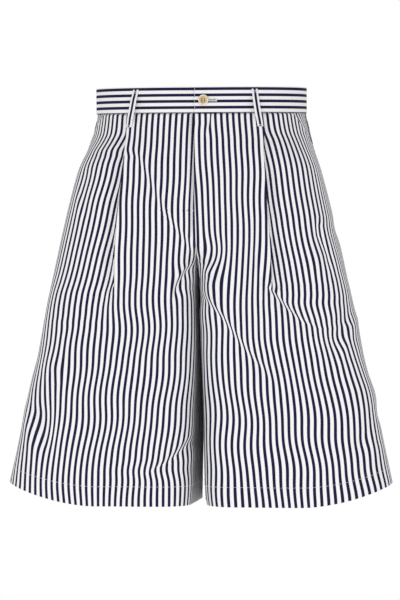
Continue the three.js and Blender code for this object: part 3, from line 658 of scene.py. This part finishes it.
def front_path(h, side):
    """The row's section, and the length and height of each of its points."""
    outline = Outline(h, "front")
    left = side > 0
    edge = outline.length_at(curve(PLEAT_HEIGHTS, PLEAT["edge_left" if left else "edge_right"], h))
    fold_s, fold_n, fold_count = pleat_path(h, edge)
    drift = float(clamp((h - FRONT_RISE_H) / (FLY_STRAIGHT_H - FRONT_RISE_H)))
    fly_edge = (FLY_OVER + HALF_GAP) * drift
    trim = HALF_GAP if h < FRONT_RISE_H else 0
    sunk = -4.2 * float(smooth((h - FRONT_RISE_H + 15) / 40)) if not left else 0
    under = -FLY_UNDER if h > FLY_END_H else trim + fly_edge
    start = trim - fly_edge if left else under
    inner_s = mix(start, fold_s[0], np.linspace(0, 1, INNER_COLUMNS + 1)[:-1])
    inner_n = fold_n[0] * smooth(1 - (fold_s[0] - inner_s) / PLEAT_RAMP)
    inner_n = inner_n + sunk * (1 - smooth((inner_s - 3.2) / 7))
    if left:
        inner_n = inner_n + 0.9 * drift * np.exp(-np.maximum(0, inner_s - start) / 5)
    end = outline.total - pocket_width(h)
    outer_s = mix(fold_s[-1], end, np.linspace(0, 1, OUTER_COLUMNS + 1)[1:])
    outer_n = fold_n[-1] * (1 - smooth((outer_s - fold_s[-1]) / PLEAT_RAMP))
    outer_n = outer_n - 1.35 * crest_at(h) * np.exp(-(((outer_s - fold_s[-1] - 4) / 10) ** 2))
    s = np.concatenate([inner_s, fold_s, outer_s])
    n = np.concatenate([inner_n, fold_n, outer_n])
    x = outline.at(s)[0]
    n = n + cloth_height("front", side, x, h, np.maximum(0, s), outline.total - s)
    n = n - WAIST_GROOVE * (1 - smooth((WAIST_H - h - 0.3) / 1.9))
    return outline, s, n, fold_count

# %% Stripes of a front
def front_stripes(outline, s, n, h, side, fold_count):
    """Stripe count along a row, from the guide stripe and through the pleat."""
    length = row_lengths(outline, s, n)
    tip = INNER_COLUMNS + FOLD_TOP
    out = INNER_COLUMNS + fold_count - 1
    hidden = length[out] - length[tip]
    folded = curve(TAKE_UP_HEIGHTS, TAKE_UP[side], h)
    shown = s[out] - s[INNER_COLUMNS] - (length[tip] - length[INNER_COLUMNS])
    real = max(0.15 * hidden, shown + 2 * folded)
    under = clamp((length - length[tip]) / hidden) * (real - hidden)
    length = length + under
    guide_at = outline.length_at(curve(GUIDE_HEIGHTS, GUIDE[side], h))
    guide = np.interp(guide_at, s[:tip], length[:tip])
    x = outline.at(s)[0]
    length = length + taken_in("front", side, x, h)
    return (length - guide) / curve(GUIDE_HEIGHTS, REPEAT[side], h) + shear(x, h, side)

# %% Rows of a front
def rise_rows(start, count):
    """Heights that lie closer where the seam turns under."""
    return start - (start - CROTCH_H) * np.sin(np.linspace(0, math.pi / 2, count))


FRONT_ROWS = np.concatenate([
    [WAIST_H - HALF_GAP, WAIST_H - 0.6, WAIST_H - 1.1],
    np.linspace(WAIST_H - 1.8, WAIST_H - POCKET_DEEP, 24)[:-1],
    np.linspace(WAIST_H - POCKET_DEEP, FLY_END_H, 34),
    np.linspace(FLY_END_H - 0.5, FRONT_RISE_H, 7)[:-1],
    rise_rows(FRONT_RISE_H, 22)[:-1],
    np.linspace(CROTCH_H, -345, 36)[:-1],
    np.linspace(-345, HEM_H + HEM_TURN + 1, 52)[:-1],
    [HEM_H + HEM_TURN + 1, HEM_H + HEM_TURN - 1],
    np.linspace(HEM_H + HEM_TURN - 6, HEM_H, 9),
])


def cloth_wall(h):
    """The turned-up hem doubles the cloth."""
    return CLOTH + 0.6 * float(smooth((HEM_H + HEM_TURN + 1 - h) / 2))

# %% Make the fronts
panels, grids = {}, {}


def make_panel(name, rows, material=None):
    """Turns rows of outer points, inner points and stripe counts into a shell."""
    outer, inner, across, along = (np.array(values) for values in rows)
    panels[name] = shell("cloth_" + name, outer, inner, across, along)
    grids[name] = outer, inner
    finish_piece(panels[name], material or poplin, name)


def down_grain(heights, across):
    """Stripe lengths down the cloth, the same all along a row."""
    return np.repeat(np.array(heights)[:, None] / STRIPE, len(across[0]), 1)


for side, hand in ((1, "left"), (-1, "right")):
    outer, inner, across = [], [], []
    for h in FRONT_ROWS:
        outline, s, n, fold_count = front_path(h, side)
        o, i = wall_row(outline, s, n, h, side, cloth_wall(h))
        outer.append(o)
        inner.append(i)
        across.append(front_stripes(outline, s, n, h, side, fold_count) * side)
    rows = outer, inner, across, down_grain(FRONT_ROWS, across)
    make_panel("front_" + hand, rows)

# %% [markdown]
# ## The backs
# The backs are plain and fuller than the fronts, to go over the seat. They are built in the
# same way, without a pleat or a pocket, and their centre seam turns under to meet the fronts.

# %% Back panels
BACK_ROWS = np.concatenate([
    np.linspace(WAIST_H - HALF_GAP, BACK_RISE_H, 46)[:-1],
    rise_rows(BACK_RISE_H, 20)[:-1],
    np.linspace(CROTCH_H, HEM_H + HEM_TURN + 1, 76)[:-1],
    [HEM_H + HEM_TURN + 1, HEM_H + HEM_TURN - 1],
    np.linspace(HEM_H + HEM_TURN - 6, HEM_H, 7),
])
BACK_COLUMNS = 150
for side, hand in ((1, "left"), (-1, "right")):
    outer, inner, across = [], [], []
    for h in BACK_ROWS:
        outline = Outline(h, "back")
        trim = HALF_GAP if h < BACK_RISE_H else 0
        s = np.linspace(trim, outline.total - HALF_GAP, BACK_COLUMNS)
        x = outline.at(s)[0]
        n = cloth_height("back", side, x, h, s, outline.total - s)
        o, i = wall_row(outline, s, n, h, side, cloth_wall(h))
        length = row_lengths(outline, s, n)
        guide_x = mix(56, 72, float(smooth((-100 - h) / 400)))
        guide = np.interp(outline.length_at(guide_x), s, length)
        outer.append(o)
        inner.append(i)
        length = length + taken_in("back", side, x, h)
        across.append(((length - guide) / STRIPE + shear(x, h, side + 0.6)) * side)
    rows = outer, inner, across, down_grain(BACK_ROWS, across)
    make_panel("back_" + hand, rows)

# %% [markdown]
# ## Pocket facings
# Behind each scooped pocket edge lies a facing cut from the same cloth, whose stripes lean
# more than the front's. Only a sliver shows, but it closes the pocket, so it is a full piece.
# It follows the front's sections, a little further in, and so can't poke through the front.

# %% Pocket facings
FACING_WIDE, FACING_DEEP, FACING_SUNK, FACING_LEAN = 84, 76, 2.3, 0.62
for side, hand in ((1, "left"), (-1, "right")):
    outer, inner, across = [], [], []
    facing_rows = np.linspace(WAIST_H - HALF_GAP, WAIST_H - HALF_GAP - FACING_DEEP, 26)
    for h in facing_rows:
        outline = Outline(h, "front")
        s = outline.total - np.linspace(FACING_WIDE, HALF_GAP, 34)
        n = side_swell(side, h, outline.total - s) - FACING_SUNK
        o, i = wall_row(outline, s, n, h, side, CLOTH)
        outer.append(o)
        inner.append(i)
        lean = (s - outline.total) + (h - WAIST_H) * FACING_LEAN
        across.append(lean / STRIPE * side)
    rows = outer, inner, across, down_grain(facing_rows, across)
    make_panel("pocket_facing_" + hand, rows)

# %% [markdown]
# ## The waistband
# The waistband is a stiff strip, folded over an interlining, with the stripes running round
# the waist. The wearer's left half ends in a straight edge that lies over the other half. A
# bevel at the two long edges shows that the cloth is folded there, not cut. A Bevel modifier
# would round the short end as well, so the long edges get closer rows instead.

# %% Waistband halves
BAND_HEIGHT, BAND_WALL, BAND_PROUD, BAND_UNDER = 38, 2.0, 0.6, 38
BAND_STRIPE, BAND_PHASE = 8.95, 0.14
band_low = WAIST_H + HALF_GAP
band_up = np.array(
    [0, 0.12, 0.4, 0.85, 1.8, 4, 8, 12, 16, 19, 22, 26, 30, 34, 36.2, 37.2, 37.75, BAND_HEIGHT]
)
band_rows = band_low + band_up
edge_near = np.minimum(band_rows - band_low, BAND_HEIGHT - (band_rows - band_low))
edge_round = np.minimum(1, np.sqrt(clamp((edge_near + 0.1) / 0.5)))
for side, hand in ((1, "left"), (-1, "right")):
    outer, inner, along = [], [], []
    for h, roundness in zip(band_rows, edge_round):
        front, back = Outline(h, "front"), Outline(h, "back")
        sunk = BAND_PROUD - BAND_WALL - 0.3
        wall = BAND_WALL * 0.9 * mix(0.35, 1, roundness)
        inset = BAND_WALL * 0.45 * (1 - mix(0.35, 1, roundness))
        start = -(FLY_OVER + HALF_GAP) if side > 0 else -BAND_UNDER
        s = np.concatenate([np.linspace(start, 34, 22)[:-1], np.linspace(34, front.total, 60)])
        n = np.full(s.shape, BAND_PROUD)
        if side < 0:
            n = mix(sunk, BAND_PROUD, smooth((s - 7) / 20))
        n = n - inset + 0.18 * np.sin(s / 21 + side) * np.sin(h / 9)
        o1, i1 = wall_row(front, s, n, h, side, wall)
        s2 = np.linspace(back.total, 0, 70)[1:]
        n2 = np.full(s2.shape, BAND_PROUD - inset)
        o2, i2 = wall_row(back, s2[::-1], n2[::-1], h, side, wall)
        outer.append(np.concatenate([o1, o2[::-1]]))
        inner.append(np.concatenate([i1, i2[::-1]]))
        along.append(np.concatenate([s, front.total + (back.total - s2)]) / STRIPE * side)
    up_band = (band_rows[:, None] - band_low) / BAND_STRIPE + BAND_PHASE
    rows = outer, inner, along, np.repeat(up_band, len(along[0]), 1)
    make_panel("waistband_" + hand, rows, band_poplin)

# %% [markdown]
# ## Belt loops
# A belt loop is a narrow folded strip, tacked flat at both ends and bowed out between them.
# It is cut along the stripes, so one navy stripe runs down its middle. An array of bent
# boxes would do from afar. Rows of points on the waist's own sections also follow its tilt.

# %% Belt loops
LOOP_WIDE, LOOP_WALL, LOOP_BOW, LOOP_TOP_H, LOOP_BOTTOM_H = 8.6, 1.2, 6.0, 15.5, -39
LOOP_STRIPE = 7.2
LOOPS = [
    ("belt_loop_front_left", 1, "front", 84.4, 92.6),
    ("belt_loop_front_right", -1, "front", 87, 97),
    ("belt_loop_back_left", 1, "back", 84, 86),
    ("belt_loop_back_right", -1, "back", 84, 86),
    ("belt_loop_back_center", 1, "back", 0, 0),
]
loop_down = np.concatenate([[0, 2.5, 4.6], np.linspace(5.5, 49, 30), [49.9, 52, 54.5]])
for name, side, panel, top_x, bottom_x in LOOPS:
    outer, inner, across = [], [], []
    crest = crest_at(LOOP_BOTTOM_H) if panel == "front" else 0
    for down in loop_down:
        h = LOOP_TOP_H - down
        share = down / (LOOP_TOP_H - LOOP_BOTTOM_H)
        outline = Outline(h, panel)
        centre = outline.length_at(mix(top_x, bottom_x, share)) if top_x else 0.0
        face = mix(BAND_PROUD, max(crest, BAND_PROUD), float(smooth((share - 0.5) / 0.4)))
        lift = float(smooth((down - 5) / 11) * smooth((49.5 - down) / 11))
        sideways = float(outline.at(centre)[2]) * LOOP_BOW * lift
        s = centre - sideways + np.linspace(-0.5, 0.5, 9) * LOOP_WIDE
        n = face + 0.3 + LOOP_WALL + LOOP_BOW * lift - 0.25 * (np.abs(np.linspace(-1, 1, 9)) ** 4)
        o, i = wall_row(outline, s, n, h, side, LOOP_WALL * 0.8)
        outer.append(o)
        inner.append(i)
        across.append(np.linspace(-0.5, 0.5, 9) * LOOP_WIDE / LOOP_STRIPE)
    rows = outer, inner, across, down_grain(loop_down, across)
    make_panel(name, rows)

# %% [markdown]
# ## The button
# The button is polished horn, or resin that copies it. The imported model already has its disc,
# holes and shank, so that piece stays and only gets a finish: stretched noise between a pale
# and a darker brown, under a soft gloss. Over that goes painted light: the turned rim catches
# more light than the dish, so a painted highlight grows with the distance from the middle of
# the button, and the dish gets painted shade.

# %% Streaks of the horn
DARK_HORN, LIGHT_HORN = (0.40, 0.29, 0.16, 1), (0.72, 0.62, 0.43, 1)
horn_with_painted_light, tree, shader = new_material("horn_with_painted_light")
place = add(tree, "ShaderNodeTexCoord").outputs["Object"]
stretch = add(tree, "ShaderNodeMapping")
stretch.inputs["Scale"].default_value = (90, 90, 260)
streak = add(tree, "ShaderNodeTexNoise")
streak.inputs["Scale"].default_value = 1.6
streak.inputs["Detail"].default_value = 4.0
ramp = add(tree, "ShaderNodeValToRGB")
for element, position, colour in zip(
    ramp.color_ramp.elements, (0.35, 0.62), (DARK_HORN, LIGHT_HORN)
):
    element.position, element.color = position, colour
tree.links.new(place, stretch.inputs["Vector"])
tree.links.new(stretch.outputs[0], streak.inputs["Vector"])
tree.links.new(streak.outputs["Fac"], ramp.inputs["Fac"])
shader.inputs["Roughness"].default_value = 0.32

# %% Painted shade in the dish and painted highlight on the rim
BUTTON_AT = (11.5, -9)
# painted shade for the dish and a painted highlight for the rim, multiplied over the horn streaks
DISH_PAINTED_SHADE, RIM_PAINTED_HIGHLIGHT = (0.78, 0.70, 0.56, 1), (1.15, 1.18, 1.30, 1)
centre = add(tree, "ShaderNodeVectorMath", operation="SUBTRACT")
centre.inputs[1].default_value = (BUTTON_AT[0] * MM, 0, BUTTON_AT[1] * MM)
flat = add(tree, "ShaderNodeVectorMath", operation="MULTIPLY")
flat.inputs[1].default_value = (1, 0, 1)
away = add(tree, "ShaderNodeVectorMath", operation="LENGTH")
tree.links.new(place, centre.inputs[0])
tree.links.new(centre.outputs[0], flat.inputs[0])
tree.links.new(flat.outputs[0], away.inputs[0])
# mask of the painted rim highlight, growing with the distance from the button's middle
rim = map_range(tree, away.outputs["Value"], 4.2 * MM, 6.6 * MM)
painted_light_and_shade = mix_colours(tree, rim, DISH_PAINTED_SHADE, RIM_PAINTED_HIGHLIGHT)
painted_horn_colour = mix_colours(tree, 1.0, ramp.outputs[0], painted_light_and_shade, blend_type="MULTIPLY")
tree.links.new(painted_horn_colour, shader.inputs["Base Color"])
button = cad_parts["button"]
button.data.materials.clear()
button.data.materials.append(horn_with_painted_light)

# %% [markdown]
# ## The buttonhole
# A buttonhole is a slit whose raw edges are wrapped in close stitches. The slit is cut through
# the band with a boolean, as scissors would, and the cutter is then thrown away.

# %% Cut the buttonhole
SLIT = [(8.5, 29.5), (-9.9, -8.1)]  # across and up, in millimetres
cutter_mesh = bpy.data.meshes.new("slit")
corner = [(x * MM, y * MM, z * MM) for x in SLIT[0] for y in (-118, -107) for z in SLIT[1]]
cutter_mesh.from_pydata(
    corner, [],
    [(0, 1, 3, 2), (4, 6, 7, 5), (0, 4, 5, 1), (2, 3, 7, 6), (0, 2, 6, 4), (1, 5, 7, 3)],
)
cutter = place_object("slit", cutter_mesh)
band = panels["waistband_left"]
cut = band.modifiers.new("buttonhole", "BOOLEAN")
cut.object, cut.operation, cut.solver = cutter, "DIFFERENCE", "EXACT"
whole = band.data
cut_band = band.evaluated_get(bpy.context.evaluated_depsgraph_get())
band.data = bpy.data.meshes.new_from_object(cut_band)
band.modifiers.clear()
bpy.data.objects.remove(cutter)
print("band faces before and after the cut:", len(whole.polygons), len(band.data.polygons))

# %% [markdown]
# ## Sewing thread
# Stitches are what makes cloth look sewn. Each is a short thick piece of thread that dips
# into the cloth at both ends. A bump pattern would vanish from the side and in an export, so
# one helper lays real ones along a line of points, a bit above the cloth, and joins them into
# one mesh for each seam.

# %% Pale and brown thread
def twisted_thread(name, dark, light):
    """Thread whose twist shows as fine dark and light specks."""
    material, tree, shader = new_material(name)
    place = add(tree, "ShaderNodeTexCoord")
    twist = add(tree, "ShaderNodeTexNoise")
    twist.inputs["Scale"].default_value = 2200.0
    tree.links.new(place.outputs["Object"], twist.inputs["Vector"])
    shade = mix_colours(tree, twist.outputs["Fac"], dark, light)
    tree.links.new(shade, shader.inputs["Base Color"])
    shader.inputs["Roughness"].default_value = 0.7
    return material


thread = twisted_thread("cotton_thread", (0.62, 0.61, 0.58, 1), (0.90, 0.89, 0.86, 1))
brown_thread = twisted_thread("brown_thread", (0.10, 0.06, 0.04, 1), (0.24, 0.17, 0.11, 1))

# %% One stitch
def spaced(points, normals, step):
    """Points and directions at even steps along a line."""
    length = np.concatenate([[0], np.cumsum(np.linalg.norm(np.diff(points, axis=0), axis=1))])
    at = np.arange(0, length[-1], step)
    def read(values):
        return np.stack([np.interp(at, length, values[:, k]) for k in range(3)], 1)
    return read(points), read(normals)


# rings of a stitch: place along it, share of its thickness, and height above the cloth
STITCH_RINGS = (
    (0, 0.35, -0.6), (0.14, 0.85, 0.25), (0.5, 1, 0.5), (0.86, 0.85, 0.25), (1, 0.35, -0.6)
)


def stitch_between(a, b, up, thick):
    """Points and faces of one stitch, from a to b, arched a little in direction up."""
    along = b - a
    side = np.cross(along, up)
    side = side / np.linalg.norm(side)
    points, faces = [], []
    for share, size, lift in STITCH_RINGS:
        centre = a + along * share + up * thick * lift
        for k in range(6):
            turn = math.tau * k / 6
            outward = side * math.cos(turn) + up * math.sin(turn)
            points.append(centre + outward * thick * size / 2)
    for ring in range(4):
        for k in range(6):
            n = (k + 1) % 6
            faces.append((ring * 6 + k, ring * 6 + n, ring * 6 + 6 + n, ring * 6 + 6 + k))
    faces += [tuple(range(5, -1, -1)), tuple(range(24, 30))]
    return points, faces

# %% Rows of stitches
def sew(name, stitches, thick=0.42, material=None):
    """Joins stitches, each a start, an end and an outward direction in metres, into a piece."""
    points, faces = [], []
    for a, b, up in stitches:
        up = up / np.linalg.norm(up)
        more, around = stitch_between(np.array(a), np.array(b), up, thick * MM)
        faces += [tuple(v + len(points) for v in face) for face in around]
        points += more
    mesh = bpy.data.meshes.new(name)
    mesh.from_pydata([tuple(v) for v in points], [], faces)
    mesh.polygons.foreach_set("use_smooth", [True] * len(faces))
    piece = place_object(name, mesh)
    finish_piece(piece, material or thread)
    print(f"{name}: {len(stitches)} stitches")


def running(points, normals, stitch=2.5, gap=0.8, lift=0.1):
    """A running stitch along a line."""
    at, up = spaced(points, normals, (stitch + gap) * MM)
    up = up / np.linalg.norm(up, axis=1)[:, None]
    share = stitch / (stitch + gap)
    return [(at[k] + up[k] * lift * MM, mix(at[k], at[k + 1], share) + up[k] * lift * MM, up[k])
            for k in range(len(at) - 1)]


def grid_line(name, rows, columns):
    """Points and outward directions along part of a panel's grid."""
    outer, inner = grids[name]
    points, behind = outer[rows, columns], inner[rows, columns]
    return points, points - behind

# %% [markdown]
# ## Hems, pocket edges and tacks
# The hem is turned up 30 mm and held by one row of pale stitches, which show best where they
# cross a navy stripe. The pocket edge is stitched close to its fold. Belt loops and pocket
# ends carry bar tacks: a few stitches side by side that take the strain. The straight end of
# the waistband has a row close to its edge, where the upper half lies over the under end.

# %% Sew hems, pockets and tacks
for hand in ("left", "right"):
    for panel, rows in (("front", FRONT_ROWS), ("back", BACK_ROWS)):
        name = f"{panel}_{hand}"
        row = int(np.argmin(np.abs(rows - (HEM_H + HEM_TURN - 1))))
        points, up = grid_line(name, row, slice(4, -3))
        sew("thread_hem_" + name, running(points, up), 0.5)
    foot = int(np.argmin(np.abs(FRONT_ROWS - (WAIST_H - POCKET_DEEP))))
    points, up = grid_line("front_" + hand, slice(1, foot), -3)
    sew("thread_pocket_" + hand, running(points, up, 2.2, 0.7), 0.45)

tacks = []
for name, *_ in LOOPS:
    outer, inner = grids[name]
    for row in (1, 2, -2, -1):
        line, up = outer[row], outer[row] - inner[row]
        for k in range(0, 8, 2):
            tacks.append((line[k] + up[k] * 0.1, line[min(8, k + 2)] + up[k] * 0.1, up[k]))
for hand in ("left", "right"):
    outer, inner = grids["front_" + hand]
    for row in (foot - 3, foot - 1, foot + 1, foot + 3, foot + 5):
        a, b = outer[row, -1], outer[row + 2, -9]
        tacks.append((a, b, outer[row, -4] - inner[row, -4]))
sew("thread_tacks", tacks, 0.75)

edge, up = grid_line("waistband_left", slice(2, -2), 0)
beside, _ = grid_line("waistband_left", slice(2, -2), 1)
sew("thread_band_end", running(mix(edge, beside, 0.45), up, 2.6, 0.35), 0.62)

# %% Sew the buttonhole and the button
face = -(body("front", 0) + BAND_PROUD + 0.15) * MM
out = np.array([0.0, -1.0, 0.0])
edging = []
(slit_left, slit_right), (slit_low, slit_high) = SLIT


def on_band(x, z):
    return np.array([x * MM, face, z * MM])


for x in np.arange(slit_left + 7.5, slit_right + 0.4, 0.62):
    for low, high in ((slit_low - 1.5, slit_low + 0.25), (slit_high - 0.25, slit_high + 1.5)):
        edging.append((on_band(x, low), on_band(x, high), out))
for z in np.arange(slit_low - 1.4, slit_high + 1.6, 0.6):
    edging.append((on_band(slit_right - 0.3, z), on_band(slit_right + 1.6, z), out))
sew("thread_buttonhole", edging, 0.6)
low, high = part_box("button")
middle = np.array([(low[0] + high[0]) / 2, low[1] + 0.9 * MM, (low[2] + high[2]) / 2])
cross = []
for x in (-1.8, 1.8):
    for shift_x in (-0.25, 0.25):
        a = middle + np.array([x + shift_x, 0, -1.35]) * MM
        cross.append((a, a + np.array([0, 0, 2.7]) * MM, out))
sew("thread_button", cross, 0.5, brown_thread)

# %% [markdown]
# ## Stage, light and camera
# A pale floor well below the hem and a white surround give the even light of a studio
# picture. One soft light stands low in front, so that the legs are as bright as the waist.
# The camera stands three metres away, a little to the wearer's left, level with the middle
# of the shorts.

# %% Stage
floor_mesh = bpy.data.meshes.new("floor")
FLOOR_Z = -1.5
corners = [(-3, -4, FLOOR_Z), (3, -4, FLOOR_Z), (3, 3, FLOOR_Z), (-3, 3, FLOOR_Z)]
floor_mesh.from_pydata(corners, [], [(0, 1, 2, 3)])
floor = place_object("floor", floor_mesh)
floor_paint, _, floor_shader = new_material("floor_paint")
floor_shader.inputs["Base Color"].default_value = (0.85, 0.85, 0.85, 1)
floor_shader.inputs["Roughness"].default_value = 0.9
floor_mesh.materials.append(floor_paint)

# %% Surround and light
world = bpy.data.worlds.new("surround")
world.use_nodes = True
world.node_tree.nodes["Background"].inputs["Color"].default_value = (1, 1, 1, 1)
world.node_tree.nodes["Background"].inputs["Strength"].default_value = 1.0
bpy.context.scene.world = world
bpy.context.scene.view_settings.view_transform = "Standard"

lamp = bpy.data.lights.new("key", "AREA")
lamp.shape, lamp.size, lamp.energy = "SQUARE", 1.2, 14
key = place_object("key", lamp)
key.location = (-0.05, -2.0, -0.9)
aim = Vector((0, 0, -0.4)) - key.location
key.rotation_mode = "QUATERNION"
key.rotation_quaternion = aim.to_track_quat("-Z", "Y")
print("key light:", lamp.energy, "W,", lamp.size, "m wide")

# %% Camera
TURN = math.radians(4.5)
camera_data = bpy.data.cameras.new("camera")
camera_data.lens, camera_data.sensor_width = 120, 36
camera = place_object("camera", camera_data)
AWAY, ASIDE, LEVEL = 3.0, -0.00225, -0.298
camera.location = (
    AWAY * math.sin(TURN) + ASIDE * math.cos(TURN),
    -AWAY * math.cos(TURN) + ASIDE * math.sin(TURN),
    LEVEL,
)
camera.rotation_euler = (math.pi / 2, 0, TURN)
bpy.context.scene.camera = camera
print("camera at:", tuple(round(v, 3) for v in camera.location))
